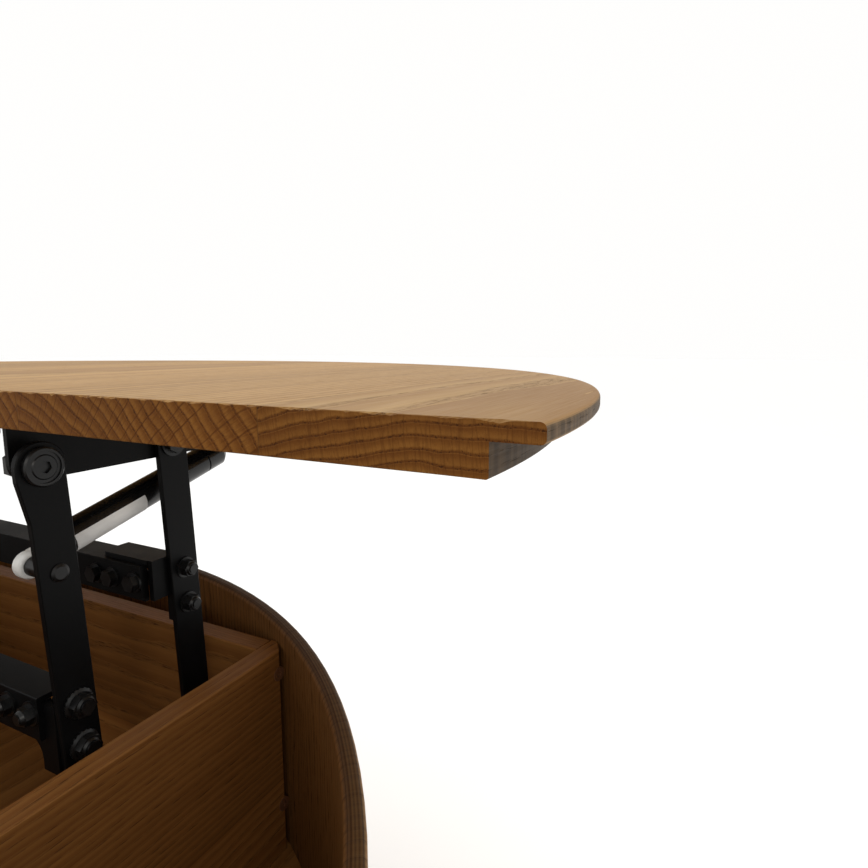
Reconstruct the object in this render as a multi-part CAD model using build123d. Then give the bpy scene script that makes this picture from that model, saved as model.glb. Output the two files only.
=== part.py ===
from build123d import *
import os
from math import radians, degrees, cos, sin, tan, atan, atan2, hypot, sqrt

# Round drum coffee table with a lift top, millimetres.
# Frame: origin on the floor at the drum's centre, +Z up, +Y towards the
# sitter (the way the top travels as it rises), X along the split of the top.
# The model is drawn with the lift top raised.

# ---- driving dimensions -------------------------------------------------
R_TOP = 450.0          # outer radius of the drum and of the two-piece top
RIM_Z = 412.0          # height of the drum's rim above the floor
WALL_T = 10.0          # bent drum wall
TOP_T = 18.0           # solid oak top
LIP_T = 6.6            # upper part of the top that overhangs the rim
RABBET = 17.0          # how far the lower part of the top steps in
RIM_GAP = 0.3          # shadow gap between rim and lip
SPLIT_Y = -23.3        # straight edge of the lift top, closed
SPLIT_GAP = 2.0        # gap between lift top and fixed top
LIFT_Y = 252.0         # travel of the top towards the sitter
LIFT_Z = 173.2         # rise of the top
GLIDE_T = 5.0
PANEL_T = 16.0         # boards of the inner box
BOX_X = 217.0          # outer face of the side walls
BOX_Y = 388.0          # outer face of the front and back walls
FLOOR_Z = RIM_Z - 170.0  # top of the compartment floor
WALL_DROP = 13.1       # side and front wall tops below the rim

ARM_W = 21.5           # flat arms
ARM_T = 4.0
LEAN = 2.5             # the raised arms lean back from upright, degrees
REAR_Y = 249.5         # rear top pivots, raised
FRONT_Y = 335.0        # front top pivots, raised
PIVOT_DROP = 22.6      # top pivots below the underside of the top
REAR_X = 176.0         # inner face of the rear arm
FRONT_X = 170.0        # inner face of the front arm
FLANGE_X = 166.0       # inner face of the top rail's flange
RAIL_T = 3.0
RAIL_H = 31.5
RAIL_Y0, RAIL_Y1 = 240.0, 505.0
PIN_R = 5.0
RUN = 0.06             # running clearance of the pivots
OPEN_RUN = 0.3         # clearance of the front top pivots

STRUT_X = 147.0        # plane of the gas strut
STRUT_S = 230.4        # strut pin above the rear lower pivot
STRUT_UP_Y = 475.0     # upper strut stud, raised
STRUT_UP_DROP = 18.6   # upper stud below the underside of the top
STRUT_R = 9.6
STRUT_BODY = 150.0     # end of the strut body from its lower pin
ROD_R = 4.0

# ---- derived ------------------------------------------------------------
# the top moves along the chord of the arms' swing; its slope fixes the swing
MID = degrees(atan(LIFT_Z / LIFT_Y))
SWING = 2.0 * (MID - LEAN)
ARM_L = hypot(LIFT_Y, LIFT_Z) / (2.0 * sin(radians(SWING / 2.0)))
ARM_A = 90.0 - LEAN - SWING                    # closed arm above horizontal
UNDER_C = RIM_Z + RIM_GAP + LIP_T - TOP_T      # underside, closed
UNDER = UNDER_C + LIFT_Z                       # underside, raised
TOPPIV_Z = UNDER - PIVOT_DROP
LOWPIV_Z = TOPPIV_Z - ARM_L * cos(radians(LEAN))
DY = ARM_L * sin(radians(LEAN))                # lower pivots stand forward by this
PIN_OFF = 1.5                                  # the pin is on the strip's centre line
PIN_Y = REAR_Y + DY - STRUT_S * sin(radians(LEAN)) + PIN_OFF * cos(radians(LEAN))
PIN_Z = LOWPIV_Z + STRUT_S * cos(radians(LEAN)) + PIN_OFF * sin(radians(LEAN))
UP_Z = UNDER - STRUT_UP_DROP
STRUT_LEN = hypot(STRUT_UP_Y - PIN_Y, UP_Z - PIN_Z)
STRUT_ANG = degrees(atan2(UP_Z - PIN_Z, STRUT_UP_Y - PIN_Y))
PIN_CY = REAR_Y + DY - STRUT_S * cos(radians(ARM_A)) + PIN_OFF * sin(radians(ARM_A))
PIN_CZ = LOWPIV_Z + STRUT_S * sin(radians(ARM_A)) + PIN_OFF * cos(radians(ARM_A))
UP_CY, UP_CZ = STRUT_UP_Y - LIFT_Y, UP_Z - LIFT_Z
CLOSED_LEN = hypot(UP_CY - PIN_CY, UP_CZ - PIN_CZ)
CLOSED_ANG = degrees(atan2(UP_CZ - PIN_CZ, UP_CY - PIN_CY))
print("arm length %.3f closed arm angle %.3f swing %.3f" % (ARM_L, ARM_A, SWING))
print("lower pivots y %.3f z %.3f upper z %.3f pin y %.3f z %.3f stud z %.3f" % (REAR_Y + DY, LOWPIV_Z, TOPPIV_Z, PIN_Y, PIN_Z, UP_Z))
print("strut raised %.3f at %.3f closed %.3f at %.3f" % (STRUT_LEN, STRUT_ANG, CLOSED_LEN, CLOSED_ANG))


# ---- helpers ------------------------------------------------------------
def bx(x0, x1, y0, y1, z0, z1):
    return Pos((x0 + x1) / 2, (y0 + y1) / 2, (z0 + z1) / 2) * Box(abs(x1 - x0), abs(y1 - y0), abs(z1 - z0))


def cyx(x0, x1, y, z, r):
    return Pos((x0 + x1) / 2, y, z) * Rot(0, 90, 0) * Cylinder(r, abs(x1 - x0))


def cyy(y0, y1, x, z, r):
    return Pos(x, (y0 + y1) / 2, z) * Rot(90, 0, 0) * Cylinder(r, abs(y1 - y0))


def cyz(z0, z1, x, y, r):
    return Pos(x, y, (z0 + z1) / 2) * Cylinder(r, abs(z1 - z0))


def hexx(x0, x1, y, z, af, turn=0.0):
    p = extrude(RegularPolygon(af / 2 / cos(radians(30)), 6), amount=abs(x1 - x0))
    return Pos(min(x0, x1), y, z) * Rot(turn, 0, 0) * Rot(0, 90, 0) * p


def hexy(y0, y1, x, z, af):
    p = extrude(RegularPolygon(af / 2 / cos(radians(30)), 6), amount=abs(y1 - y0))
    return Pos(x, max(y0, y1), z) * Rot(90, 0, 0) * p


def conex(x0, x1, y, z, r0, r1):
    """Cone frustum along X, radius r0 at x0 and r1 at x1 (x1 > x0)."""
    return Pos((x0 + x1) / 2, y, z) * Rot(0, 90, 0) * Cone(r0, r1, x1 - x0)


def coney(y0, y1, x, z, r0, r1):
    """Cone frustum along -Y, radius r0 at y0 and r1 at y1 (y1 < y0)."""
    return Pos(x, (y0 + y1) / 2, z) * Rot(90, 0, 0) * Cone(r0, r1, y0 - y1)


def left(s):
    return mirror(s, about=Plane.YZ)


def plate_x(pts, x0, x1):
    """Plate of outline pts (y, z) between two X planes."""
    w = Polyline(*[(0, y, z) for y, z in pts], close=True)
    return Pos(x0, 0, 0) * extrude(make_face(w), amount=x1 - x0, dir=(1, 0, 0))


def plate_y(pts, y0, y1):
    """Plate of outline pts (x, z) between two Y planes."""
    w = Polyline(*[(x, 0, z) for x, z in pts], close=True)
    return Pos(0, y0, 0) * extrude(make_face(w), amount=y1 - y0, dir=(0, 1, 0))


def arc_pts(cy0, cz0, r, a0, a1, n=10):
    return [(cy0 + r * cos(radians(a0 + (a1 - a0) * i / n)), cz0 + r * sin(radians(a0 + (a1 - a0) * i / n))) for i in range(n + 1)]


def revolved(pts):
    """Solid of revolution about Z from (radius, z) points."""
    w = Polyline(*[(r, 0, z) for r, z in pts], close=True)
    return revolve(make_face(w), axis=Axis.Z, revolution_arc=360)


def grp(*s):
    out = []
    for k in s:
        out += list(k.solids()) if hasattr(k, "solids") else list(k)
    return Compound(children=out)


os.makedirs("parts", exist_ok=True)


def save(shape, node):
    export_step(shape, "parts/%s.step" % node)


# ---- drum ---------------------------------------------------------------
RI = R_TOP - WALL_T
ring = revolved([(RI, GLIDE_T), (R_TOP - 2, GLIDE_T), (R_TOP, GLIDE_T + 2)]
                + arc_pts(R_TOP - 3, RIM_Z - 3, 3, 0, 90, 5)
                + arc_pts(RI + 4, RIM_Z - 4, 4, 90, 180, 5))
save(ring & bx(0, R_TOP + 5, -R_TOP - 5, R_TOP + 5, 0, RIM_Z + 5), "drum_wall_right")
save(ring & bx(-R_TOP - 5, 0, -R_TOP - 5, R_TOP + 5, 0, RIM_Z + 5), "drum_wall_left")
RD = RI - 0.5
BASE_T = 18.0
save(cyz(GLIDE_T, GLIDE_T + BASE_T, 0, 0, RD), "base_panel")
glides = [cyz(0, GLIDE_T, 380 * cos(radians(a)), 380 * sin(radians(a)), 18) for a in (45, 135, 225, 315)] + [cyz(0, GLIDE_T, 0, 0, 18)]
save(grp(*glides), "glides")
FLOOR_T = 12.0
ZB = GLIDE_T + BASE_T
ZF = FLOOR_Z - FLOOR_T
save(bx(-8, 8, -425, 425, ZB, ZF), "support_board_long")
save(grp(bx(8, 425, -8, 8, ZB, ZF), bx(-425, -8, -8, 8, ZB, ZF)), "support_boards_cross")
floor_screw_xy = [(0, 300), (0, -300), (300, 0), (-300, 0), (0, 120), (0, -120)]
floor = cyz(ZF, FLOOR_Z, 0, 0, RD)
save(floor, "compartment_floor")

# ---- inner box ----------------------------------------------------------
BXI = BOX_X - PANEL_T
BYI = BOX_Y - PANEL_T
WT = RIM_Z - WALL_DROP
CH = 10.2
screw_z = [RIM_Z - 132, RIM_Z - 30]
MID_Y0, MID_Y1 = SPLIT_Y - 21.0, SPLIT_Y - 5.0
screw_y = [BOX_Y - 11, (MID_Y0 + MID_Y1) / 2, -BOX_Y + 11]


def side_wall():
    pts = [(BXI, -BOX_Y), (BOX_X - CH, -BOX_Y), (BOX_X, -BOX_Y + CH), (BOX_X, BOX_Y - CH), (BOX_X - CH, BOX_Y), (BXI, BOX_Y)]
    w = Polyline(*[(x, y, FLOOR_Z) for x, y in pts], close=True)
    s = extrude(make_face(w), amount=WT - FLOOR_Z, dir=(0, 0, 1))
    top = [e for e in s.edges().filter_by(Axis.Y) if abs(e.center().Z - WT) < 0.01 and e.length > 500]
    s = chamfer(top, 0.8)
    for y in screw_y:
        for z in screw_z:
            s -= cyx(BXI - 1, BOX_X + 1, y, z, 2.52)
            s -= cyx(BOX_X - 1.5, BOX_X + 1, y, z, 5.02)
    return s


def wall_between(y0, y1, top, ys):
    s = bx(-BXI, BXI, y0, y1, FLOOR_Z, top)
    ed = [e for e in s.edges().filter_by(Axis.X) if abs(e.center().Z - top) < 0.01]
    s = chamfer(ed, 0.8)
    for sx in (1, -1):
        for z in screw_z:
            s -= cyx(sx * (BXI - 34), sx * BXI, ys, z, 2.52)
    return s


sw = side_wall()
save(sw, "side_wall_right")
save(left(sw), "side_wall_left")
save(wall_between(BYI, BOX_Y, WT, screw_y[0]), "front_wall")
save(wall_between(MID_Y0, MID_Y1, UNDER_C, screw_y[1]), "middle_wall")
save(wall_between(-BOX_Y, -BYI, UNDER_C, screw_y[2]), "back_wall")
ws = []
for y in screw_y:
    for z in screw_z:
        s = cyx(BXI - 33, BOX_X - 1.5, y, z, 2.5) + cyx(BOX_X - 1.5, BOX_X + 0.6, y, z, 5.0)
        s -= hexx(BOX_X - 0.9, BOX_X + 1, y, z, 3.6)
        ws += [s, left(s)]
save(grp(*ws), "wall_screws")

# cleats that carry the fixed top
CL_Z = UNDER_C - 26.0
cl = bx(BXI - 18, BXI, -BYI, MID_Y0, CL_Z, UNDER_C)
cleat_y = [-320.0, -200.0, -90.0]
for y in cleat_y:
    cl -= cyz(CL_Z - 1, UNDER_C + 1, BXI - 9, y, 2.3)
save(grp(cl, left(cl)), "fixed_top_cleats")


# ---- two-piece top ------------------------------------------------------
def top_profile():
    z1 = UNDER_C + TOP_T
    zl = z1 - LIP_T
    r = R_TOP
    rb = R_TOP - RABBET
    pts = [(0, UNDER_C), (rb - 0.8, UNDER_C), (rb, UNDER_C + 0.8), (rb, zl), (r - 1.6, zl)]
    pts += arc_pts(r - 1.6, zl + 1.6, 1.6, -90, 0, 4)[1:]
    pts += arc_pts(r - 2.0, z1 - 2.0, 2.0, 0, 90, 5)
    pts += [(0, z1)]
    return revolved(pts)


disc = top_profile()
big = R_TOP + 20
lift_c = disc & bx(-big, big, SPLIT_Y, big, UNDER_C - 5, UNDER_C + TOP_T + 5)
lid = Pos(0, LIFT_Y, LIFT_Z) * lift_c
fixed = disc & bx(-big, big, -big, SPLIT_Y - SPLIT_GAP, UNDER_C - 5, UNDER_C + TOP_T + 5)
for y in cleat_y:
    for sx in (1, -1):
        fixed -= cyz(UNDER_C - 1, UNDER_C + 9.5, sx * (BXI - 9), y, 2.3)
fs = []
for y in cleat_y:
    for sx in (1, -1):
        s = cyz(CL_Z - 2.2, CL_Z, sx * (BXI - 9), y, 4.6) + cyz(CL_Z, UNDER_C + 9, sx * (BXI - 9), y, 2.25)
        s -= cyz(CL_Z - 2.3, CL_Z - 1.2, sx * (BXI - 9), y, 1.8)
        fs.append(s)
save(fixed, "fixed_top_panel")
save(grp(*fs), "fixed_top_screws")
bump = [cyz(WT, WT + 1.6, sx * (BOX_X - 8), y, 5.5) for sx in (1, -1) for y in (10.0, 130.0)]
save(grp(*bump), "lid_bumpers")

# ---- top rails (on the lift top) ---------------------------------------
rail_screw_y = [268.0, 305.0, 380.0, 445.0]
zf0 = UNDER - RAIL_H
fl = plate_x([(RAIL_Y0, UNDER), (RAIL_Y0, zf0 + 10)] + arc_pts(RAIL_Y0 + 10, zf0 + 10, 10, 180, 270, 8)[1:]
             + arc_pts(RAIL_Y1 - 12, zf0 + 12, 12, 270, 360, 8) + [(RAIL_Y1, UNDER)], FLANGE_X, FLANGE_X + RAIL_T)
hz = bx(FLANGE_X - 27, FLANGE_X, RAIL_Y0 + 4, RAIL_Y1 - 4, UNDER - RAIL_T, UNDER)
rail = fl + hz
for y in rail_screw_y:
    rail -= cyz(UNDER - 5, UNDER + 1, FLANGE_X - 13, y, 2.6)
rail -= cyx(FLANGE_X - 1, FLANGE_X + 4, REAR_Y, TOPPIV_Z, PIN_R)
rail -= cyx(FLANGE_X - 1, FLANGE_X + 4, FRONT_Y, TOPPIV_Z, PIN_R)
rail -= cyx(FLANGE_X - 1, FLANGE_X + 4, STRUT_UP_Y, UP_Z, 4.0)
save(rail, "top_rail_right")
save(left(rail), "top_rail_left")
rs = []
for y in rail_screw_y:
    for sx in (1, -1):
        x = sx * (FLANGE_X - 13)
        s = cyz(UNDER - RAIL_T - 2.4, UNDER - RAIL_T, x, y, 5.0) + cyz(UNDER - RAIL_T, UNDER + 12, x, y, 2.5)
        s -= cyz(UNDER - RAIL_T - 2.5, UNDER - RAIL_T - 1.3, x, y, 1.9)
        rs.append(s)
        lid -= cyz(UNDER - 1, UNDER + 12.2, x, y, 2.52)
save(lid, "lift_top_panel")
save(grp(*rs), "top_rail_screws")

# rear top pivots: pin through the flange with a spacer and a broad cap
xf = FLANGE_X + RAIL_T
xo = REAR_X + ARM_T + 0.3
rp = cyx(FLANGE_X - 6, xo + 1, REAR_Y, TOPPIV_Z, PIN_R)
rp += cyx(xf, REAR_X - 0.3, REAR_Y, TOPPIV_Z, 9)
cap = cyx(xo, xo + 2.0, REAR_Y, TOPPIV_Z, 10.4) + conex(xo + 2.0, xo + 2.8, REAR_Y, TOPPIV_Z, 10.4, 9.6)
cap -= cyx(xo + 2.0, xo + 8, REAR_Y, TOPPIV_Z, 8.4)
cap += conex(xo + 2.0, xo + 2.5, REAR_Y, TOPPIV_Z, 6.6, 6.0)
cap -= hexx(xo + 0.9, xo + 9, REAR_Y, TOPPIV_Z, 6.0, 12)
rp += cap
rp += hexx(FLANGE_X - 6.5, FLANGE_X, REAR_Y, TOPPIV_Z, 15)
save(grp(rp, left(rp)), "rear_top_pivots")
# front top pivots
fo = FRONT_X + ARM_T + 0.3
fp = cyx(FLANGE_X - 5, fo + 1, FRONT_Y, TOPPIV_Z, PIN_R)
fp += cyx(xf, FRONT_X - 0.3, FRONT_Y, TOPPIV_Z, 9)
fp += cyx(fo, fo + 1.0, FRONT_Y, TOPPIV_Z, 8.8) + hexx(fo + 1.0, fo + 4.8, FRONT_Y, TOPPIV_Z, 12)
fp += hexx(FLANGE_X - 5.5, FLANGE_X, FRONT_Y, TOPPIV_Z, 14)
save(grp(fp, left(fp)), "front_top_pivots")
# upper strut studs
su = cyx(STRUT_X + 7.0, FLANGE_X + 3, STRUT_UP_Y, UP_Z, 4.0) + cyx(FLANGE_X - 3, FLANGE_X, STRUT_UP_Y, UP_Z, 8.0)
su += cyx(STRUT_X + 7.0, STRUT_X + 9.0, STRUT_UP_Y, UP_Z, 6.5)
su += hexx(FLANGE_X + 3, FLANGE_X + 8, STRUT_UP_Y, UP_Z, 11)
save(grp(su, left(su)), "strut_upper_studs")


# ---- arms ---------------------------------------------------------------
def lean(sh, y):
    """Swing an upright arm drawn below its top pivot to the raised lean."""
    return Pos(0, y, TOPPIV_Z) * Rot(LEAN, 0, 0) * Pos(0, -y, -TOPPIV_Z) * sh


def ease(plate, x0, x1, c=0.5):
    """Small chamfer round both faces of an arm."""
    ed = [e for e in plate.edges() if (abs(e.center().X - x0) < 0.01 or abs(e.center().X - x1) < 0.01)]
    try:
        return chamfer(ed, c)
    except Exception:
        return plate


def arm_y(y, z):
    """Centre of the leaning arm at height z."""
    return y + (TOPPIV_Z - z) * tan(radians(LEAN))


def rear_arm():
    h = ARM_W / 2
    z0, z1 = TOPPIV_Z - ARM_L, TOPPIV_Z
    y = REAR_Y
    off = 1.5                     # the strip stands a little forward of the head
    pts = [(y - h + off, z0 + 6)] + arc_pts(y, z0, h + 0.6, 200, 340, 14) + [(y + h + off, z0 + 6)]
    pts += [(y + h + off, z1 - 4)]
    pts += arc_pts(y, z1, 13.0, 15, 180, 18)
    pts += [(y - 13.0, z1 - 6), (y - h + off, z1 - 29)]
    s = plate_x(pts, REAR_X, REAR_X + ARM_T)
    s -= cyx(REAR_X - 1, REAR_X + ARM_T + 1, y, z0, PIN_R + RUN)
    s -= cyx(REAR_X - 1, REAR_X + ARM_T + 1, y, z1, PIN_R + RUN)
    s = lean(ease(s, REAR_X, REAR_X + ARM_T), y)
    s -= cyx(REAR_X - 1, REAR_X + ARM_T + 1, PIN_Y, PIN_Z, 4.0)
    for zz in REAR_BOLTS:
        s -= cyx(REAR_X - 1, REAR_X + ARM_T + 1, arm_y(REAR_Y, zz) + off, zz, 4.0)
    return s


def front_arm():
    h = ARM_W / 2
    z0, z1 = TOPPIV_Z - ARM_L, TOPPIV_Z
    y = FRONT_Y
    pts = arc_pts(y, z0, h, 180, 360, 16) + arc_pts(y, z1, h, 0, 180, 16)
    s = plate_x(pts, FRONT_X, FRONT_X + ARM_T)
    s -= cyx(FRONT_X - 1, FRONT_X + ARM_T + 1, y, z0, PIN_R + RUN)
    s -= cyx(FRONT_X - 1, FRONT_X + ARM_T + 1, y, z1, PIN_R + OPEN_RUN)
    s = lean(ease(s, FRONT_X, FRONT_X + ARM_T), y)
    for zz in FRONT_BOLTS:
        s -= cyx(FRONT_X - 1, FRONT_X + ARM_T + 1, arm_y(FRONT_Y, zz), zz, 3.0)
    return s


REAR_BOLTS = (RIM_Z + 5.0, RIM_Z - 20.5)
FRONT_BOLTS = (RIM_Z + 55.0, RIM_Z + 30.5)
ra = rear_arm()
save(ra, "rear_arm_right")
save(left(ra), "rear_arm_left")
fa = front_arm()
save(fa, "front_arm_right")
save(left(fa), "front_arm_left")

# rear crossbar: angle section between the rear arms, with end brackets
RB_Y0, RB_Y1 = 243.0, 263.5
RB_TOP = RIM_Z + 11.0
RB_H = 25.5
rb_bolt_x = (139.0, 160.0)
RB_BZ = RB_TOP - 10.0
xin = REAR_X - 4.0
rcb = bx(-xin + 6, xin - 6, RB_Y0, RB_Y1, RB_TOP - 3, RB_TOP) + bx(-xin + 6, xin - 6, RB_Y0, RB_Y0 + 3, RB_TOP - RB_H, RB_TOP)
rcb = chamfer([e for e in rcb.edges().filter_by(Axis.X)], 0.45)
for x in rb_bolt_x:
    for sx in (1, -1):
        rcb -= cyy(RB_Y0 - 1, RB_Y0 + 4, sx * x, RB_BZ, 3.0)
save(rcb, "rear_crossbar")
fx, fz = 132.0, RB_TOP - RB_H - 1.5
zb = RIM_Z - 34
pts = [(fx, RB_TOP - 4), (fx, fz + 4)] + arc_pts(fx + 4, fz + 4, 4, 180, 270, 5)[1:]
pts += [(150, fz)] + [(150 + 12 * sin(radians(t)), fz - 12 + 12 * cos(radians(t))) for t in (15, 30, 45, 60, 75, 90)]
pts += [(162, zb), (xin, zb), (xin, RB_TOP - 4)]
rbk = plate_y(pts, RB_Y0 + 3, RB_Y0 + 6)
rbk += bx(xin, REAR_X, RB_Y0 + 3, RB_Y0 + 24, zb, RB_TOP - 4)
for x in rb_bolt_x:
    rbk -= cyy(RB_Y0, RB_Y0 + 8, x, RB_BZ, 3.0)
for zz in REAR_BOLTS:
    rbk -= cyx(xin - 1, REAR_X + 1, arm_y(REAR_Y, zz) + 1.5, zz, 4.0)
save(grp(rbk, left(rbk)), "rear_crossbar_brackets")
rbb = []
xa = REAR_X + ARM_T
for zz in REAR_BOLTS:
    y = arm_y(REAR_Y, zz) + 1.5
    s = cyx(xin - 5, xa + 9.5, y, zz, 3.95) + hexx(xin - 5, xin, y, zz, 12.0, 10)
    s += cyx(xa, xa + 1.3, y, zz, 8.4) + conex(xa + 1.3, xa + 2.4, y, zz, 8.4, 6.8) + hexx(xa + 2.4, xa + 7.0, y, zz, 12, 18) + conex(xa + 7.0, xa + 8.3, y, zz, 5.4, 4.5)
    # serrated flange of the nut
    for k in range(20):
        t = radians(18 * k)
        s -= cyx(xa - 0.1 + 0.1, xa + 1.5, y + 8.7 * cos(t), zz + 8.7 * sin(t), 0.75)
    rbb += [s, left(s)]
save(grp(*rbb), "rear_arm_bolts")
rcbolts = []
for x in rb_bolt_x:
    z = RB_BZ
    s = cyy(RB_Y0 - 8, RB_Y0 + 10, x, z, 2.95) + cyy(RB_Y0 - 1.1, RB_Y0, x, z, 7.0) + hexy(RB_Y0 - 5.6, RB_Y0 - 1.1, x, z, 9.6)
    s += coney(RB_Y0 - 5.6, RB_Y0 - 7.4, x, z, 4.5, 3.5)
    s += hexy(RB_Y0 + 6, RB_Y0 + 9.5, x, z, 9.6)
    rcbolts += [s, left(s)]
save(grp(*rcbolts), "rear_crossbar_bolts")

# front crossbar: angle section with a plate lapped on top at each end
FB_Y0, FB_Y1 = 312.5, 334.5
FB_TOP = RIM_Z + 62.0
FB_H = 22.5
fb_bolt_x = (121.0, 137.0, 158.0)
FB_BZ = FB_TOP - 11.0
xf2 = FRONT_X - 4.0
fcb = bx(-xf2 + 2, xf2 - 2, FB_Y0, FB_Y1, FB_TOP - 3, FB_TOP) + bx(-xf2 + 2, xf2 - 2, FB_Y0, FB_Y0 + 3, FB_TOP - FB_H, FB_TOP)
fcb = chamfer([e for e in fcb.edges().filter_by(Axis.X)], 0.45)
for x in fb_bolt_x:
    for sx in (1, -1):
        fcb -= cyy(FB_Y0 - 1, FB_Y0 + 4, sx * x, FB_BZ, 3.0)
save(fcb, "front_crossbar")
pz = [(122, FB_Y1 + 2), (122, FB_Y0 + 9)] + arc_pts(127, FB_Y0 + 9, 5, 180, 270, 5)[1:] + [(xf2, FB_Y0 + 4), (xf2, FB_Y1 + 2)]
fbk = Pos(0, 0, FB_TOP) * extrude(make_face(Polyline(*[(x, y, 0) for x, y in pz], close=True)), amount=3.0, dir=(0, 0, 1))
fbk += bx(xf2, FRONT_X, FB_Y0 + 4.5, arm_y(FRONT_Y, RIM_Z + 40) + 10, FB_TOP - FB_H - 1, FB_TOP + 3)
fbk += bx(xf2, FRONT_X, arm_y(FRONT_Y, RIM_Z + 30) - 9.5, arm_y(FRONT_Y, RIM_Z + 40) + 10, RIM_Z + 20, FB_TOP)
fbp = bx(110, xf2 - 2.5, FB_Y0 + 3, FB_Y0 + 6, FB_TOP - FB_H - 2, FB_TOP - 3.6)
for x in fb_bolt_x:
    fbp -= cyy(FB_Y0, FB_Y0 + 8, x, FB_BZ, 3.0)
for zz in FRONT_BOLTS:
    fbk -= cyx(xf2 - 1, FRONT_X + 1, arm_y(FRONT_Y, zz), zz, 3.0)
save(grp(fbk, left(fbk), fbp, left(fbp)), "front_crossbar_brackets")
fbb = []
xa = FRONT_X + ARM_T
for zz in FRONT_BOLTS:
    y = arm_y(FRONT_Y, zz)
    s = cyx(xf2 - 4, xa + 8.6, y, zz, 2.95) + hexx(xf2 - 4, xf2, y, zz, 9.6, 5) + cyx(xa, xa + 1.2, y, zz, 6.8)
    s += hexx(xa + 1.2, xa + 6.6, y, zz, 9.6, 20) + conex(xa + 6.6, xa + 7.9, y, zz, 4.6, 3.7)
    fbb += [s, left(s)]
save(grp(*fbb), "front_arm_bolts")
fcbolts = []
for x in fb_bolt_x:
    z = FB_BZ
    s = cyy(FB_Y0 - 4.8, FB_Y0 + 10, x, z, 2.95) + cyy(FB_Y0 - 1.1, FB_Y0, x, z, 6.6) + hexy(FB_Y0 - 5.2, FB_Y0 - 1.1, x, z, 9.6)
    s += hexy(FB_Y0 + 6, FB_Y0 + 9.8, x, z, 9.6)
    fcbolts += [s, left(s)]
save(grp(*fcbolts), "front_crossbar_bolts")

# strut pins on the rear arms
xa = REAR_X + ARM_T
sp = cyx(STRUT_X - 1.0, xa, PIN_Y, PIN_Z, 4.0)
sp += cyx(STRUT_X + 10.4, REAR_X, PIN_Y, PIN_Z, 5.6)
sp += cyx(STRUT_X - 0.6, STRUT_X + 1.7, PIN_Y, PIN_Z, 5.2)
sp += cyx(xa, xa + 0.7, PIN_Y, PIN_Z, 4.9) + conex(xa + 0.7, xa + 1.5, PIN_Y, PIN_Z, 4.9, 3.4)
save(grp(sp, left(sp)), "strut_lower_pins")

# ---- base plates and lower pivots --------------------------------------
# flat plates screwed to the inner faces of the side walls
BR_T = 3.0
BR_X = BXI - BR_T
BR_Y0, BR_Y1 = 236.0, 370.0
BR_Z0, BR_Z1 = FLOOR_Z + 3.0, LOWPIV_Z + 34.0
br = plate_x([(BR_Y0, BR_Z0), (BR_Y1, BR_Z0), (BR_Y1, BR_Z1 - 10)] + arc_pts(BR_Y1 - 10, BR_Z1 - 10, 10, 0, 90, 6)[1:]
             + arc_pts(BR_Y0 + 14, BR_Z1 - 14, 14, 90, 180, 6), BR_X, BXI)
low_y = (REAR_Y + DY, FRONT_Y + DY)
br_scr = [(y, z) for y in (BR_Y0 + 9, sum(low_y) / 2, BR_Y1 - 8) for z in (LOWPIV_Z + 2, LOWPIV_Z + 22)]
for y, z in br_scr:
    br -= cyx(BR_X - 1, BXI + 1, y, z, 2.6)
for y in low_y:
    br -= cyx(BR_X - 1, BXI + 1, y, LOWPIV_Z, PIN_R)
save(br, "base_rail_right")
save(left(br), "base_rail_left")
bs = []
for y, z in br_scr:
    s = cyx(BR_X - 2.4, BR_X, y, z, 4.8) + cyx(BR_X, BXI + 12, y, z, 2.5)
    s -= cyx(BR_X - 3, BR_X - 1.2, y, z, 1.8)
    bs += [s, left(s)]
    sw -= cyx(BXI - 1, BXI + 12.2, y, z, 2.52)
save(grp(*bs), "base_rail_screws")
save(sw, "side_wall_right")
save(left(sw), "side_wall_left")


def low_pivot(y, xi):
    s = cyx(xi - 1, BXI, y, LOWPIV_Z, PIN_R)
    s += cyx(xi + ARM_T + 0.3, BR_X, y, LOWPIV_Z, 9.0)
    s += cyx(xi - 4.3, xi - 0.3, y, LOWPIV_Z, 9.0)
    return s


rl = low_pivot(low_y[0], REAR_X)
save(grp(rl, left(rl)), "rear_lower_pivots")
fl2 = low_pivot(low_y[1], FRONT_X)
save(grp(fl2, left(fl2)), "front_lower_pivots")


# ---- gas struts ---------------------------------------------------------
# drawn along +X from the lower pin, then swung into place
def place(s):
    return Pos(STRUT_X, PIN_Y, PIN_Z) * Rot(STRUT_ANG, 0, 0) * Rot(0, 0, 90) * s


def ax(x0, x1, r):
    return Pos((x0 + x1) / 2, 0, 0) * Rot(0, 90, 0) * Cylinder(r, x1 - x0)


def axc(x0, x1, r0, r1):
    return Pos((x0 + x1) / 2, 0, 0) * Rot(0, 90, 0) * Cone(r0, r1, x1 - x0)


tube = ax(16.0, 20, 5.4) + axc(20, 23, 6.8, STRUT_R) + ax(23, 132, STRUT_R) + ax(132, 133.2, 8.9) + ax(133.2, 147, STRUT_R) + axc(147, STRUT_BODY, STRUT_R, 7.8)
tube -= ax(36, STRUT_BODY + 1, ROD_R + RUN)
eye = Rot(90, 0, 0) * Cylinder(7.7, 8.0)
eye = Pos(0, -6.0, 0) * fillet(eye.edges().filter_by(GeomType.CIRCLE), 2.2)
eye += bx(5.2, 9.5, -6.5, 4.0, -4.2, 4.2)
eye += ax(8.2, 16.0, 4.6)
eye -= Rot(90, 0, 0) * Cylinder(4.0 + RUN, 40)
lab = ax(26, 76, STRUT_R + 0.25) - ax(25, 77, STRUT_R + 0.03)
rod = ax(126, STRUT_LEN - 14.0, ROD_R)
ueye = Pos(STRUT_LEN, 0, 0) * Rot(90, 0, 0) * Cylinder(8.6, 11.0)
ueye += ax(STRUT_LEN - 14.0, STRUT_LEN - 4, 5.6)
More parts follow.
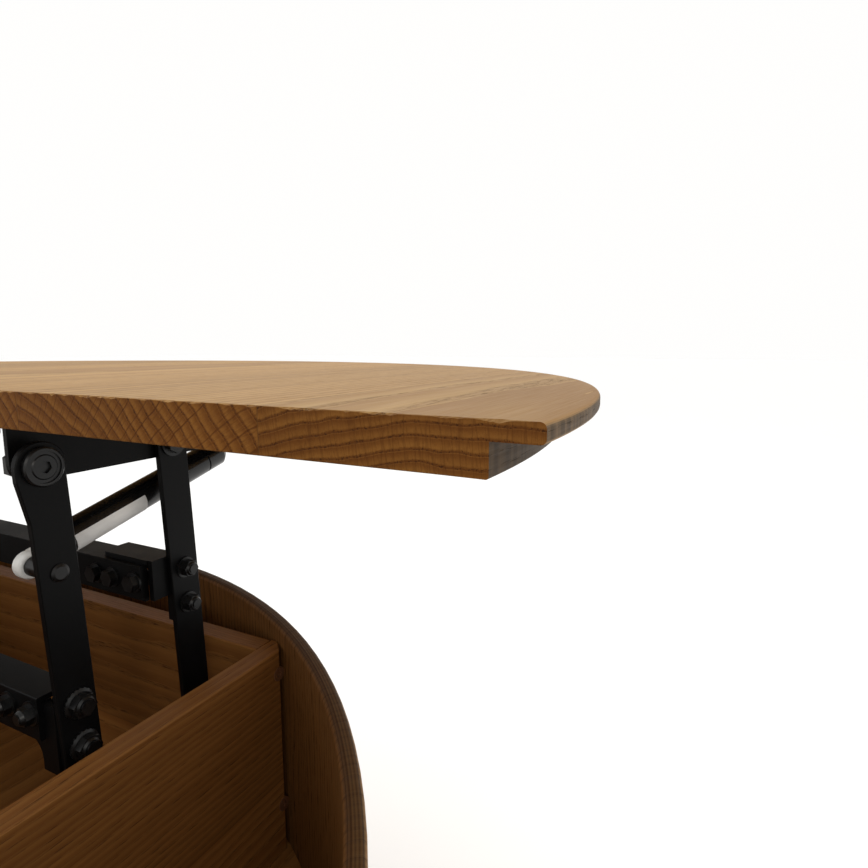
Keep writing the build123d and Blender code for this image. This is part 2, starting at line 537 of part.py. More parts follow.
ueye += Pos(STRUT_LEN, 0, 0) * Rot(90, 0, 0) * Cylinder(5.0, 13.4)
for side, f in (("right", lambda s: s), ("left", left)):
    save(f(place(tube)), "strut_tube_" + side)
    save(f(place(eye)), "strut_lower_eye_" + side)
    save(f(place(rod)), "strut_rod_" + side)
    save(f(place(ueye)), "strut_upper_eye_" + side)
# plain label on the lower, outer side of each strut body (local -Y is the
# outer side of the right strut after it is swung into place)
wedge = extrude(make_face(Polyline((0, 0), (30 * cos(radians(18)), 30 * sin(radians(18))), (30, -30 * 0.3), (20, -40), (-20, -40), (30 * cos(radians(-115)), 30 * sin(radians(-115))), close=True)), amount=200)
# wedge is drawn in (outward, up) and stood along the strut
wedge = Rot(90, 0, 0) * wedge
wedge = Pos(0, 150, 0) * wedge
lab_r = place(lab) & (Pos(STRUT_X, PIN_Y, PIN_Z) * Rot(STRUT_ANG, 0, 0) * Pos(0, 0, 0) * wedge)
save(lab_r, "strut_label_right")
save(left(lab_r), "strut_label_left")
print("written", len(os.listdir("parts")))
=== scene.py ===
import math
import random
import bpy
import bmesh
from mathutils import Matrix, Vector


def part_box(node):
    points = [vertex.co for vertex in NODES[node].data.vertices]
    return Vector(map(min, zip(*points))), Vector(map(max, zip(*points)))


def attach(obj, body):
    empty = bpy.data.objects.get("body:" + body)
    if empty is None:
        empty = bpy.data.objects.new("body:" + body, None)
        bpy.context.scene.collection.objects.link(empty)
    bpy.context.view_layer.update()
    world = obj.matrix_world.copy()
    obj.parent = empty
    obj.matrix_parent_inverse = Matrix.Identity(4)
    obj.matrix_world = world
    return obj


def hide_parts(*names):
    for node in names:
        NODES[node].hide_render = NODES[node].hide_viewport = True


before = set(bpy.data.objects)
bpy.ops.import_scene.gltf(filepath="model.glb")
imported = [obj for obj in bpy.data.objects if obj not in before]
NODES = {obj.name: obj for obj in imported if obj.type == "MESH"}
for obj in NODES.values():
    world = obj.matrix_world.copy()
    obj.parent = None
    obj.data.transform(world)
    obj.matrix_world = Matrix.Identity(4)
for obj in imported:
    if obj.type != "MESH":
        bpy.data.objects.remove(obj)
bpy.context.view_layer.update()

scene = bpy.context.scene

# ------------------------------------------------------------------ constants
R_TOP = 0.450
SPLIT = -0.0233
LIP = 0.0066
THICK = 0.018
RABBET = 0.017
BOARD_X0 = 0.201        # a glue line of the top
BOARD_W = 0.144         # board width of the top


def mm(v):
    return v / 1000.0


# ------------------------------------------------------------------ node kit
class G:
    """Small helper that builds node maths."""

    def __init__(self, name):
        self.mat = bpy.data.materials.new(name)
        self.mat.use_nodes = True
        self.t = self.mat.node_tree
        self.t.nodes.clear()
        self.out = self.t.nodes.new("ShaderNodeOutputMaterial")
        self.bsdf = self.t.nodes.new("ShaderNodeBsdfPrincipled")
        self.t.links.new(self.bsdf.outputs[0], self.out.inputs[0])
        tc = self.t.nodes.new("ShaderNodeTexCoord")
        self.obj = tc.outputs["Object"]
        s = self.t.nodes.new("ShaderNodeSeparateXYZ")
        self.t.links.new(self.obj, s.inputs[0])
        self.x, self.y, self.z = s.outputs[0], s.outputs[1], s.outputs[2]

    def put(self, sock, v):
        if isinstance(v, (int, float)):
            sock.default_value = v
        elif isinstance(v, (tuple, list)):
            if len(sock.default_value) == 4 and len(v) == 3:
                v = tuple(v) + (1.0,)
            sock.default_value = v
        else:
            self.t.links.new(v, sock)

    def m(self, op, a, b=None, c=None, clamp=False):
        n = self.t.nodes.new("ShaderNodeMath")
        n.operation = op
        n.use_clamp = clamp
        self.put(n.inputs[0], a)
        if b is not None:
            self.put(n.inputs[1], b)
        if c is not None:
            self.put(n.inputs[2], c)
        return n.outputs[0]

    def add(self, a, b): return self.m("ADD", a, b)
    def sub(self, a, b): return self.m("SUBTRACT", a, b)
    def mul(self, a, b): return self.m("MULTIPLY", a, b)
    def div(self, a, b): return self.m("DIVIDE", a, b)

    def vec(self, x, y, z):
        n = self.t.nodes.new("ShaderNodeCombineXYZ")
        for i, v in enumerate((x, y, z)):
            self.put(n.inputs[i], v)
        return n.outputs[0]

    def noise(self, v, scale=1.0, detail=2.0, rough=0.5, dist=0.0):
        n = self.t.nodes.new("ShaderNodeTexNoise")
        self.t.links.new(v, n.inputs["Vector"])
        n.inputs["Scale"].default_value = scale
        n.inputs["Detail"].default_value = detail
        n.inputs["Roughness"].default_value = rough
        n.inputs["Distortion"].default_value = dist
        return n.outputs["Fac"]

    def white(self, w):
        n = self.t.nodes.new("ShaderNodeTexWhiteNoise")
        n.noise_dimensions = "1D"
        self.put(n.inputs["W"], w)
        return n.outputs["Value"], n.outputs["Color"]

    def step(self, v, lo, hi, a=0.0, b=1.0, smooth=True):
        n = self.t.nodes.new("ShaderNodeMapRange")
        n.interpolation_type = "SMOOTHSTEP" if smooth else "LINEAR"
        n.clamp = True
        self.put(n.inputs[0], v)
        n.inputs[1].default_value = lo
        n.inputs[2].default_value = hi
        n.inputs[3].default_value = a
        n.inputs[4].default_value = b
        return n.outputs[0]

    def ramp(self, v, stops, constant=False):
        n = self.t.nodes.new("ShaderNodeValToRGB")
        self.put(n.inputs[0], v)
        cr = n.color_ramp
        cr.interpolation = "CONSTANT" if constant else "LINEAR"
        while len(cr.elements) < len(stops):
            cr.elements.new(0.5)
        for e, (p, c) in zip(cr.elements, stops):
            e.position = p
            e.color = tuple(c) + (1.0,)
        return n.outputs[0]

    def mix(self, f, a, b, mode="MIX"):
        n = self.t.nodes.new("ShaderNodeMix")
        n.data_type = "RGBA"
        n.blend_type = mode
        self.put(n.inputs[0], f)
        self.put(n.inputs[6], a)
        self.put(n.inputs[7], b)
        return n.outputs[2]

    def bump(self, h, strength, dist, prev=None):
        n = self.t.nodes.new("ShaderNodeBump")
        n.inputs["Strength"].default_value = strength
        n.inputs["Distance"].default_value = dist
        self.put(n.inputs["Height"], h)
        if prev is not None:
            self.t.links.new(prev, n.inputs["Normal"])
        return n.outputs[0]

    def set(self, **kw):
        names = {"color": "Base Color", "rough": "Roughness", "metal": "Metallic", "spec": "Specular IOR Level",
                 "ior": "IOR", "coat": "Coat Weight", "coat_rough": "Coat Roughness", "normal": "Normal",
                 "sheen": "Sheen Weight", "sub": "Subsurface Weight"}
        for k, v in kw.items():
            self.put(self.bsdf.inputs[names[k]], v)


def sep(g, col):
    n = g.t.nodes.new("ShaderNodeSeparateColor")
    g.t.links.new(col, n.inputs[0])
    return n.outputs[0], n.outputs[1], n.outputs[2]


def oak(name, axes="xyz", board_w=BOARD_W, board_x0=BOARD_X0, table=None, ring=0.0042, zmid=0.0,
        tones=((0.165, 0.070, 0.016), (0.43, 0.262, 0.098), (0.335, 0.185, 0.060)),
        rough=(0.52, 0.66), round_edge_streaks_and_shade=None, seed=0.0, coat=0.25, gain=1.0, flat_ends=False,
        end_tint=(0.50, 0.34, 0.17)):
    """Solid oak in three dimensions: growth rings about a pith beside each board, earlywood pores,
    medullary rays, and boards glued side by side. axes gives which of x, y and z run across the
    boards, along the grain and through the thickness."""
    g = G(name)
    src = {"x": g.x, "y": g.y, "z": g.z}
    X, Y, Z = (src[a] for a in axes)
    bi = g.m("FLOOR", g.div(g.sub(X, board_x0), board_w))
    xl = g.sub(g.sub(X, board_x0), g.mul(g.add(bi, 0.5), board_w))
    if table:
        stops = [((i + 0.02) / (len(table) + 1), t) for i, t in enumerate(table)]
        r, gg, b = sep(g, g.ramp(g.div(g.add(bi, table_offset + 0.5), float(len(table) + 1)), stops, constant=True))
    else:
        _, c = g.white(g.add(bi, seed))
        r, gg, b = sep(g, c)
    px = g.mul(g.sub(r, 0.5), 0.36)
    pz = g.mul(g.sub(gg, 0.5), 1.0)
    # slow wander of the pith along the board, and local wave
    w1 = g.noise(g.vec(g.mul(X, 3.0), g.mul(Y, 1.6), g.add(g.mul(Z, 3.0), g.mul(bi, 3.7))), 1.0, 2.0, 0.5)
    w2 = g.noise(g.vec(g.mul(X, 26.0), g.mul(Y, 3.5), g.add(g.mul(Z, 26.0), g.mul(bi, 1.3))), 1.0, 2.0, 0.5)
    w3 = g.noise(g.vec(g.mul(X, 160.0), g.mul(Y, 14.0), g.mul(Z, 160.0)), 1.0, 2.0, 0.55)
    dx = g.sub(xl, px)
    dz = g.sub(g.sub(Z, zmid), pz)
    dx = g.add(dx, g.mul(g.sub(w1, 0.5), 0.05))
    rr = g.m("SQRT", g.add(g.mul(dx, dx), g.mul(dz, dz)))
    rr = g.add(rr, g.mul(g.sub(w2, 0.5), 0.0085))
    rr = g.add(rr, g.mul(g.sub(w3, 0.5), 0.0011))
    # slow growth in some boards, quick in others
    ph = g.div(rr, g.add(ring * 0.72, g.mul(g.m("FRACT", g.mul(b, 7.0)), ring * 0.75)))
    ringn = g.m("FLOOR", ph)
    f = g.m("FRACT", ph)
    rv, _ = g.white(ringn)
    early = g.mul(g.step(f, 0.0, 0.05), g.step(f, 0.13, 0.34, 1.0, 0.0))
    late = g.step(f, 0.45, 1.0)
    # pores: long, fine vessels, densest in the earlywood
    pn = g.noise(g.vec(g.mul(X, 2100.0), g.mul(Y, 90.0), g.mul(Z, 2100.0)), 1.0, 1.5, 0.5)
    pore = g.mul(g.step(pn, 0.53, 0.64), g.add(g.mul(early, 0.95), 0.10))
    fib = g.noise(g.vec(g.mul(X, 900.0), g.mul(Y, 22.0), g.mul(Z, 900.0)), 1.0, 3.0, 0.6)
    # rays: thin sheets from the pith outwards
    ang = g.m("ARCTAN2", dz, dx)
    rn = g.noise(g.vec(g.mul(ang, 95.0), g.mul(Y, 22.0), g.mul(rr, 16.0)), 1.0, 1.0, 0.4)
    ray = g.mul(g.step(g.m("ABSOLUTE", g.sub(rn, 0.5)), 0.0, 0.028, 1.0, 0.0), 0.85)
    rn2 = g.noise(g.vec(g.mul(ang, 330.0), g.mul(Y, 40.0), g.mul(rr, 60.0)), 1.0, 1.0, 0.4)
    ray2 = g.mul(g.step(g.m("ABSOLUTE", g.sub(rn2, 0.5)), 0.0, 0.05, 1.0, 0.0), 0.35)
    ray = g.m("MAXIMUM", g.mul(ray, 0.55), ray2)
    # broad rays, sparse and nearly straight
    rw = g.noise(g.vec(g.mul(ang, 30.0), g.mul(Y, 30.0), g.mul(rr, 55.0)), 1.0, 2.0, 0.5)
    ra = g.add(g.mul(ang, 23.0), g.mul(rw, 0.55))
    rc, _ = g.white(g.add(g.m("FLOOR", ra), g.mul(bi, 17.0)))
    rl = g.step(g.m("ABSOLUTE", g.sub(g.m("FRACT", ra), g.add(0.25, g.mul(rc, 0.5)))), 0.02, 0.06, 1.0, 0.0)
    rayl = g.mul(rl, g.add(0.7, g.mul(rc, 0.3)))
    rayl = g.mul(rayl, g.step(b, 0.355, 0.375, 0.18, 1.0))
    ray = g.m("MAXIMUM", ray, rayl)
    # end faces show the rays and rings strongly, side faces softly
    geo = g.t.nodes.new("ShaderNodeNewGeometry")
    ns = g.t.nodes.new("ShaderNodeSeparateXYZ")
    vt = g.t.nodes.new("ShaderNodeVectorTransform")
    vt.vector_type = "NORMAL"
    vt.convert_from = "WORLD"
    vt.convert_to = "OBJECT"
    g.t.links.new(geo.outputs["True Normal"], vt.inputs[0])
    g.t.links.new(vt.outputs[0], ns.inputs[0])
    ny = {"x": ns.outputs[0], "y": ns.outputs[1], "z": ns.outputs[2]}[axes[1]]
    endf = g.step(g.m("ABSOLUTE", ny), 0.35, 0.85)
    if flat_ends:
        endf = g.mul(endf, 0.0)
    dark, light, mid = tones
    col = g.mix(g.step(f, 0.15, 1.0), light, mid)
    col = g.mix(g.mul(early, g.add(0.28, g.mul(endf, 0.50))), col, dark)
    col = g.mix(g.mul(g.mul(late, 0.35), g.add(0.3, endf)), col, dark)
    col = g.mix(g.mul(g.sub(fib, 0.35), g.add(0.45, g.mul(endf, 0.2))), col, dark)
    col = g.mix(g.mul(g.step(rv, 0.0, 1.0, -0.1, 0.22), 1.0), col, dark)
    col = g.mix(g.mul(pore, g.add(0.62, g.mul(endf, 0.15))), col, tuple(0.30 * v for v in dark))
    col = g.mix(g.mul(ray, g.add(0.03, g.mul(endf, 0.78))), col, tuple(0.75 * v for v in dark))
    # per-board tone and slow cloudiness
    cl = g.noise(g.vec(g.mul(X, 7.0), g.mul(Y, 2.2), g.mul(Z, 7.0)), 1.0, 3.0, 0.55)
    tone = g.add(g.mul(g.sub(b, 0.5), 0.34), g.mul(g.sub(cl, 0.5), 0.38))
    vv = g.mul(g.add(1.0, tone), gain)
    hs = g.t.nodes.new("ShaderNodeHueSaturation")
    g.put(hs.inputs["Value"], vv)
    g.put(hs.inputs["Color"], col)
    col = hs.outputs[0]
    # the finish soaks into end grain and darkens it
    col = g.mix(endf, col, g.mix(1.0, col, end_tint, "MULTIPLY"))
    # glue lines
    gl = g.sub(0.5, g.m("ABSOLUTE", g.sub(g.m("FRACT", g.div(g.sub(X, board_x0), board_w)), 0.5)))
    glm = g.step(g.mul(gl, board_w), 0.00012, 0.0005, 1.0, 0.0)
    col = g.mix(g.mul(glm, 0.45), col, tuple(0.5 * v for v in dark))
    if round_edge_streaks_and_shade is not None:
        # the sawn round edge: greyer, with dark streaks through the thickness; its tones are much darker than the top's
        # oak, partly painted shade for an edge that faces away from the light
        a, b0 = round_edge_streaks_and_shade
        nxs, nzs = ns.outputs[0], ns.outputs[2]
        side = g.mul(g.step(g.m("ABSOLUTE", nzs), 0.3, 0.8, 1.0, 0.0), g.step(g.m("MULTIPLY", ns.outputs[1], -1.0), 0.90, 0.97, 1.0, 0.0))
        th = g.m("ARCTAN2", g.sub(g.y, a), g.x)
        st = g.noise(g.vec(g.mul(th, 130.0), g.mul(g.z, 14.0), 0.0), 1.0, 3.0, 0.6)
        st2 = g.noise(g.vec(g.mul(th, 900.0), g.mul(g.z, 60.0), 2.0), 1.0, 2.0, 0.6)
        grey = g.mix(g.step(st, 0.34, 0.66), (0.012, 0.008, 0.0045), (0.082, 0.052, 0.027))
        grey = g.mix(g.step(st2, 0.45, 0.75, 0.0, 0.5), grey, (0.020, 0.013, 0.008))
        col = g.mix(g.mul(side, b0), col, grey)
        # painted shade: the rebate below the lip is darker still
        rebate_painted_shade = g.mul(side, g.step(g.z, zmid + 0.0018, zmid + 0.0026, 1.0, 0.0))
        col = g.mix(g.mul(rebate_painted_shade, 0.55), col, (0.022, 0.014, 0.008))
    r_lo, r_hi = rough
    rg = g.add(g.add(r_lo, g.mul(g.sub(fib, 0.4), 0.25)), g.mul(g.m("MAXIMUM", pore, endf), r_hi - r_lo))
    h = g.add(g.mul(pore, -1.0), g.mul(fib, 0.25))
    h = g.add(h, g.mul(g.mul(early, endf), -0.6))
    h = g.add(h, g.mul(g.mul(ray, endf), -0.5))
    h = g.add(h, g.mul(glm, -0.6))
    nrm = g.bump(h, 0.45, 0.00022)
    g.set(color=col, rough=rg, normal=nrm, coat=0.0, coat_rough=0.3, spec=0.10)
    return g.mat


# pith place and tone of each board of the top, from -X to +X
table_offset = 5
TOP_TABLE = [
    (0.62, 0.36, 0.45), (0.35, 0.34, 0.60), (0.70, 0.66, 0.40), (0.55, 0.32, 0.52),
    (0.30, 0.38, 0.70), (0.22, 0.41, 0.56), (0.58, 0.05, 0.34), (0.5, 0.3, 0.5),
]

lb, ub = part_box("lift_top_panel")
ZU = lb.z                      # underside, raised
CY = ub.y - R_TOP              # centre of the round edge
YS = lb.y                      # straight edge
M = {}
M["oak_lift"] = oak("oak_lift_top", "xyz", table=TOP_TABLE, zmid=ZU + 0.009, round_edge_streaks_and_shade=(CY, 0.85))
fl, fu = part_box("fixed_top_panel")
M["oak_fixed"] = oak("oak_fixed_top", "xyz", table=TOP_TABLE, zmid=fl.z + 0.009, round_edge_streaks_and_shade=(0.0, 0.85))
# the box boards get darker tones than the top's oak: partly the wood's own tone, partly painted shade for the inside of
# the box
M["box_y"] = oak("box_boards_y_painted_shade", "zyx", board_w=0.4, board_x0=-0.9, ring=0.0035, seed=3.0, coat=0.12,
                 tones=((0.072, 0.023, 0.0045), (0.235, 0.100, 0.026), (0.180, 0.070, 0.017)), end_tint=(0.8, 0.7, 0.6))
M["box_x"] = oak("box_boards_x_painted_shade", "zxy", board_w=0.4, board_x0=-0.9, ring=0.0033, seed=8.0, coat=0.12,
                 tones=((0.072, 0.023, 0.0045), (0.235, 0.100, 0.026), (0.180, 0.070, 0.017)), end_tint=(0.8, 0.7, 0.6))
# the compartment floor's darker tones are partly painted shade as well
M["floor"] = oak("floor_boards_painted_shade", "xyz", board_w=0.12, board_x0=0.0, ring=0.004, seed=13.0, coat=0.08,
                 tones=((0.072, 0.025, 0.005), (0.235, 0.105, 0.029), (0.180, 0.075, 0.019)))
M["base"] = oak("base_boards", "xyz", board_w=0.12, board_x0=0.0, ring=0.004, seed=23.0, coat=0.0,
                tones=((0.15, 0.07, 0.03), (0.36, 0.19, 0.085), (0.30, 0.15, 0.06)), rough=(0.6, 0.75))


def drum_veneer():
    """Bent wall: veneer leaves round the drum with upright grain."""
    g = G("drum_veneer")
    th = g.m("ARCTAN2", g.y, g.x)
    arc = g.mul(th, R_TOP)
    leaf = g.m("FLOOR", g.div(arc, 0.118))
    lx = g.sub(g.div(arc, 0.118), leaf)
    lv, lc = g.white(g.add(leaf, 41.0))
    r, gg, b = sep(g, lc)
    w = g.noise(g.vec(g.mul(arc, 10.0), g.mul(g.z, 2.4), g.mul(leaf, 2.1)), 1.0, 3.0, 0.55)
    w2 = g.noise(g.vec(g.mul(arc, 60.0), g.mul(g.z, 5.0), g.mul(leaf, 1.1)), 1.0, 2.0, 0.5)
    c0 = g.sub(lx, g.add(0.2, g.mul(r, 0.6)))
    d = g.add(g.m("ABSOLUTE", c0), g.mul(g.sub(w, 0.5), 0.5))
    # cathedral figure in the middle of a leaf: arches drawn out along the height
    d = g.add(d, g.mul(g.z, g.mul(g.sub(gg, 0.35), 0.35)))
    ph = g.add(g.mul(d, 19.0), g.mul(w2, 1.6))
    f = g.m("FRACT", ph)
    early = g.mul(g.step(f, 0.0, 0.10), g.step(f, 0.22, 0.55, 1.0, 0.0))
    pn = g.noise(g.vec(g.mul(arc, 2000.0), g.mul(g.z, 80.0), 0.0), 1.0, 1.5, 0.5)
    pore = g.mul(g.step(pn, 0.52, 0.64), g.add(g.mul(early, 0.9), 0.14))
    fib = g.noise(g.vec(g.mul(arc, 800.0), g.mul(g.z, 16.0), 0.0), 1.0, 3.0, 0.6)
    fle = g.noise(g.vec(g.mul(arc, 260.0), g.mul(g.z, 55.0), 3.0), 1.0, 1.0, 0.5)
    fleck = g.mul(g.step(fle, 0.64, 0.74), 0.22)
    dark, light, mid = (0.100, 0.040, 0.011), (0.33, 0.185, 0.068), (0.250, 0.126, 0.042)
    # painted shade: the hollow face is darker and browner than the outside, standing for the shade and bounce light
    # inside the drum
    gs = g.t.nodes.new("ShaderNodeNewGeometry")
    sn = g.t.nodes.new("ShaderNodeSeparateXYZ")
    g.t.links.new(gs.outputs["True Normal"], sn.inputs[0])
    inner_face_painted_shade = g.step(g.add(g.mul(g.x, sn.outputs[0]), g.mul(g.y, sn.outputs[1])), -0.05, 0.0, 1.0, 0.0)
    col = g.mix(g.step(f, 0.1, 1.0), light, mid)
    col = g.mix(g.mul(early, 0.5), col, dark)
    col = g.mix(g.mul(g.sub(fib, 0.35), 0.55), col, dark)
    col = g.mix(g.mul(pore, 0.7), col, tuple(0.35 * v for v in dark))
    col = g.mix(fleck, col, (0.50, 0.27, 0.11))
    cl = g.noise(g.vec(g.mul(arc, 4.0), g.mul(g.z, 2.0), 7.0), 1.0, 3.0, 0.5)
    vv = g.add(1.0, g.add(g.mul(g.sub(b, 0.5), 0.26), g.mul(g.sub(cl, 0.5), 0.35)))
    hs = g.t.nodes.new("ShaderNodeHueSaturation")
    g.put(hs.inputs["Value"], vv)
    g.put(hs.inputs["Color"], col)
    col = hs.outputs[0]
    gl = g.sub(0.5, g.m("ABSOLUTE", g.sub(lx, 0.5)))
    glm = g.step(g.mul(gl, 0.118), 0.0001, 0.0004, 1.0, 0.0)
    col = g.mix(g.mul(glm, 0.4), col, (0.05, 0.02, 0.008))
    # painted shade on the hollow face: darker and browner
    col = g.mix(inner_face_painted_shade, col, g.mix(1.0, col, (0.60, 0.48, 0.36), "MULTIPLY"))
    # plies show on the rim
    geo = g.t.nodes.new("ShaderNodeNewGeometry")
    ns = g.t.nodes.new("ShaderNodeSeparateXYZ")
    g.t.links.new(geo.outputs["True Normal"], ns.inputs[0])
    rad = g.m("SQRT", g.add(g.mul(g.x, g.x), g.mul(g.y, g.y)))
    ply = g.m("FRACT", g.div(rad, 0.0017))
    plyc = g.mix(g.step(ply, 0.35, 0.65), (0.060, 0.028, 0.010), (0.022, 0.009, 0.003))
    col = g.mix(g.mul(g.step(ns.outputs[2], 0.55, 0.85), 0.85), col, plyc)
    rg = g.add(0.36, g.add(g.mul(g.sub(fib, 0.4), 0.2), g.mul(pore, 0.2)))
    nrm = g.bump(g.add(g.mul(pore, -1.0), g.mul(fib, 0.3)), 0.4, 0.0002)
    g.set(color=col, rough=g.add(rg, 0.16), normal=nrm, coat=0.0, coat_rough=0.3, spec=0.10)
    return g.mat


M["drum"] = drum_veneer()


# the default base colour is darker than the real black coat: black coat plus painted shade
def powder(name="black_powder_coat", base=(0.0014, 0.0014, 0.0015), rough=0.48):
    g = G(name)
    n1 = g.noise(g.vec(g.mul(g.x, 1400.0), g.mul(g.y, 1400.0), g.mul(g.z, 1400.0)), 1.0, 2.0, 0.5)
    n2 = g.noise(g.vec(g.mul(g.x, 35.0), g.mul(g.y, 35.0), g.mul(g.z, 35.0)), 1.0, 4.0, 0.6)
    dust = g.noise(g.vec(g.mul(g.x, 260.0), g.mul(g.y, 260.0), g.mul(g.z, 260.0)), 1.0, 3.0, 0.7)
    col = g.mix(g.step(n2, 0.35, 0.75, 0.0, 0.5), base, tuple(1.8 * v + 0.001 for v in base))
    col = g.mix(g.step(dust, 0.70, 0.80, 0.0, 0.10), col, (0.035, 0.034, 0.031))
    rg = g.add(rough, g.add(g.mul(g.sub(n2, 0.5), 0.18), g.mul(g.sub(n1, 0.5), 0.10)))
    nrm = g.bump(g.add(n1, g.mul(n2, 0.6)), 0.30, 0.00012)
    g.set(color=col, rough=rg, normal=nrm, spec=0.10, coat=0.0, coat_rough=0.25)
    return g.mat


def fastener():
    g = G("black_fastener")
    n1 = g.noise(g.vec(g.mul(g.x, 900.0), g.mul(g.y, 900.0), g.mul(g.z, 900.0)), 1.0, 2.0, 0.5)
    n2 = g.noise(g.vec(g.mul(g.x, 140.0), g.mul(g.y, 140.0), g.mul(g.z, 140.0)), 1.0, 4.0, 0.65)
    col = g.mix(g.step(n2, 0.35, 0.7), (0.0025, 0.0025, 0.0027), (0.006, 0.0058, 0.0056))
    col = g.mix(g.step(n1, 0.68, 0.8, 0.0, 0.25), col, (0.06, 0.058, 0.055))
    rg = g.add(0.30, g.mul(g.sub(n2, 0.5), 0.3))
    nrm = g.bump(n1, 0.2, 0.00008)
    g.set(color=col, rough=g.add(rg, 0.06), metal=0.0, normal=nrm, spec=0.30)
    return g.mat


def strut_paint():
    g = G("strut_gloss_black")
    n1 = g.noise(g.vec(g.mul(g.x, 500.0), g.mul(g.y, 500.0), g.mul(g.z, 500.0)), 1.0, 3.0, 0.6)
    n2 = g.noise(g.vec(g.mul(g.x, 60.0), g.mul(g.y, 12.0), g.mul(g.z, 60.0)), 1.0, 3.0, 0.6)
    col = g.mix(g.step(n2, 0.4, 0.7, 0.0, 0.6), (0.004, 0.004, 0.0043), (0.009, 0.009, 0.009))
    col = g.mix(g.step(n1, 0.70, 0.78, 0.0, 0.25), col, (0.08, 0.078, 0.074))
    rg = g.add(0.20, g.mul(g.sub(n2, 0.45), 0.25))
    g.set(color=col, rough=rg, normal=g.bump(n1, 0.12, 0.0001), coat=0.0, coat_rough=0.12, spec=0.4)
    return g.mat


def chrome():
    g = G("chromed_rod")
    n1 = g.noise(g.vec(g.mul(g.x, 300.0), g.mul(g.y, 900.0), g.mul(g.z, 900.0)), 1.0, 3.0, 0.6)
    col = g.mix(n1, (0.62, 0.62, 0.63), (0.78, 0.78, 0.79))
    g.set(color=col, metal=1.0, rough=g.add(0.12, g.mul(n1, 0.14)), normal=g.bump(n1, 0.1, 0.00005))
    return g.mat


def nylon():
    g = G("white_nylon")
    n1 = g.noise(g.vec(g.mul(g.x, 420.0), g.mul(g.y, 420.0), g.mul(g.z, 420.0)), 1.0, 3.0, 0.6)
    n2 = g.noise(g.vec(g.mul(g.x, 55.0), g.mul(g.y, 55.0), g.mul(g.z, 55.0)), 1.0, 3.0, 0.6)
    col = g.mix(g.step(n2, 0.35, 0.7), (0.60, 0.60, 0.58), (0.76, 0.755, 0.735))
    col = g.mix(g.step(n1, 0.64, 0.80, 0.0, 0.35), col, (0.40, 0.38, 0.35))
    g.set(color=col, rough=g.add(0.38, g.mul(n1, 0.15)), normal=g.bump(n1, 0.15, 0.0001), sub=0.0)
    return g.mat


def label():
    g = G("plain_label")
    n1 = g.noise(g.vec(g.mul(g.x, 700.0), g.mul(g.y, 700.0), g.mul(g.z, 700.0)), 1.0, 3.0, 0.6)
    n2 = g.noise(g.vec(g.mul(g.x, 40.0), g.mul(g.y, 40.0), g.mul(g.z, 40.0)), 1.0, 3.0, 0.6)
    col = g.mix(g.step(n2, 0.3, 0.7), (0.62, 0.615, 0.60), (0.74, 0.735, 0.72))
    col = g.mix(g.step(n1, 0.62, 0.8, 0.0, 0.2), col, (0.35, 0.33, 0.30))
    g.set(color=col, rough=g.add(0.45, g.mul(n1, 0.15)), normal=g.bump(n1, 0.15, 0.00006))
    return g.mat


def plastic(name, a, b, rough=0.5):
    g = G(name)
    n1 = g.noise(g.vec(g.mul(g.x, 600.0), g.mul(g.y, 600.0), g.mul(g.z, 600.0)), 1.0, 3.0, 0.6)
    n2 = g.noise(g.vec(g.mul(g.x, 50.0), g.mul(g.y, 50.0), g.mul(g.z, 50.0)), 1.0, 3.0, 0.6)
    g.set(color=g.mix(n2, a, b), rough=g.add(rough, g.mul(g.sub(n1, 0.5), 0.2)), normal=g.bump(n1, 0.3, 0.0001))
    return g.mat


M["powder"] = powder()
M["fastener"] = fastener()
M["strut"] = strut_paint()
M["chrome"] = chrome()
M["nylon"] = nylon()
M["label"] = label()
M["grey"] = plastic("grey_plastic", (0.16, 0.155, 0.145), (0.22, 0.21, 0.20))
M["brown"] = plastic("brown_screw_caps", (0.085, 0.032, 0.014), (0.12, 0.05, 0.022), 0.4)


def assign(obj, mat):
    obj.data.materials.clear()
    obj.data.materials.append(mat)


def kind(n):
    if n.startswith("drum_wall"): return "drum"
    if n == "lift_top_panel": return "oak_lift"
    if n == "fixed_top_panel": return "oak_fixed"
    if n in ("side_wall_right", "side_wall_left", "fixed_top_cleats"): return "box_y"
    if n in ("front_wall", "middle_wall", "back_wall"): return "box_x"
    if n == "compartment_floor": return "floor"
    if n in ("base_panel", "support_board_long", "support_boards_cross"): return "base"
    if n in ("glides", "lid_bumpers"): return "grey"
    if n == "wall_screws": return "brown"
    if "lower_eye" in n: return "nylon"
    if "label" in n: return "label"
    if "strut_tube" in n: return "strut"
    if "strut_rod" in n: return "chrome"
    if any(k in n for k in ("bolts", "pivots", "pins", "studs", "screws", "upper_eye")): return "fastener"
    return "powder"


for n, o in NODES.items():
    for i in range(len(o.material_slots)):
        o.material_slots[i].material = M[kind(n)]
    if not o.material_slots:
        o.data.materials.append(M[kind(n)])


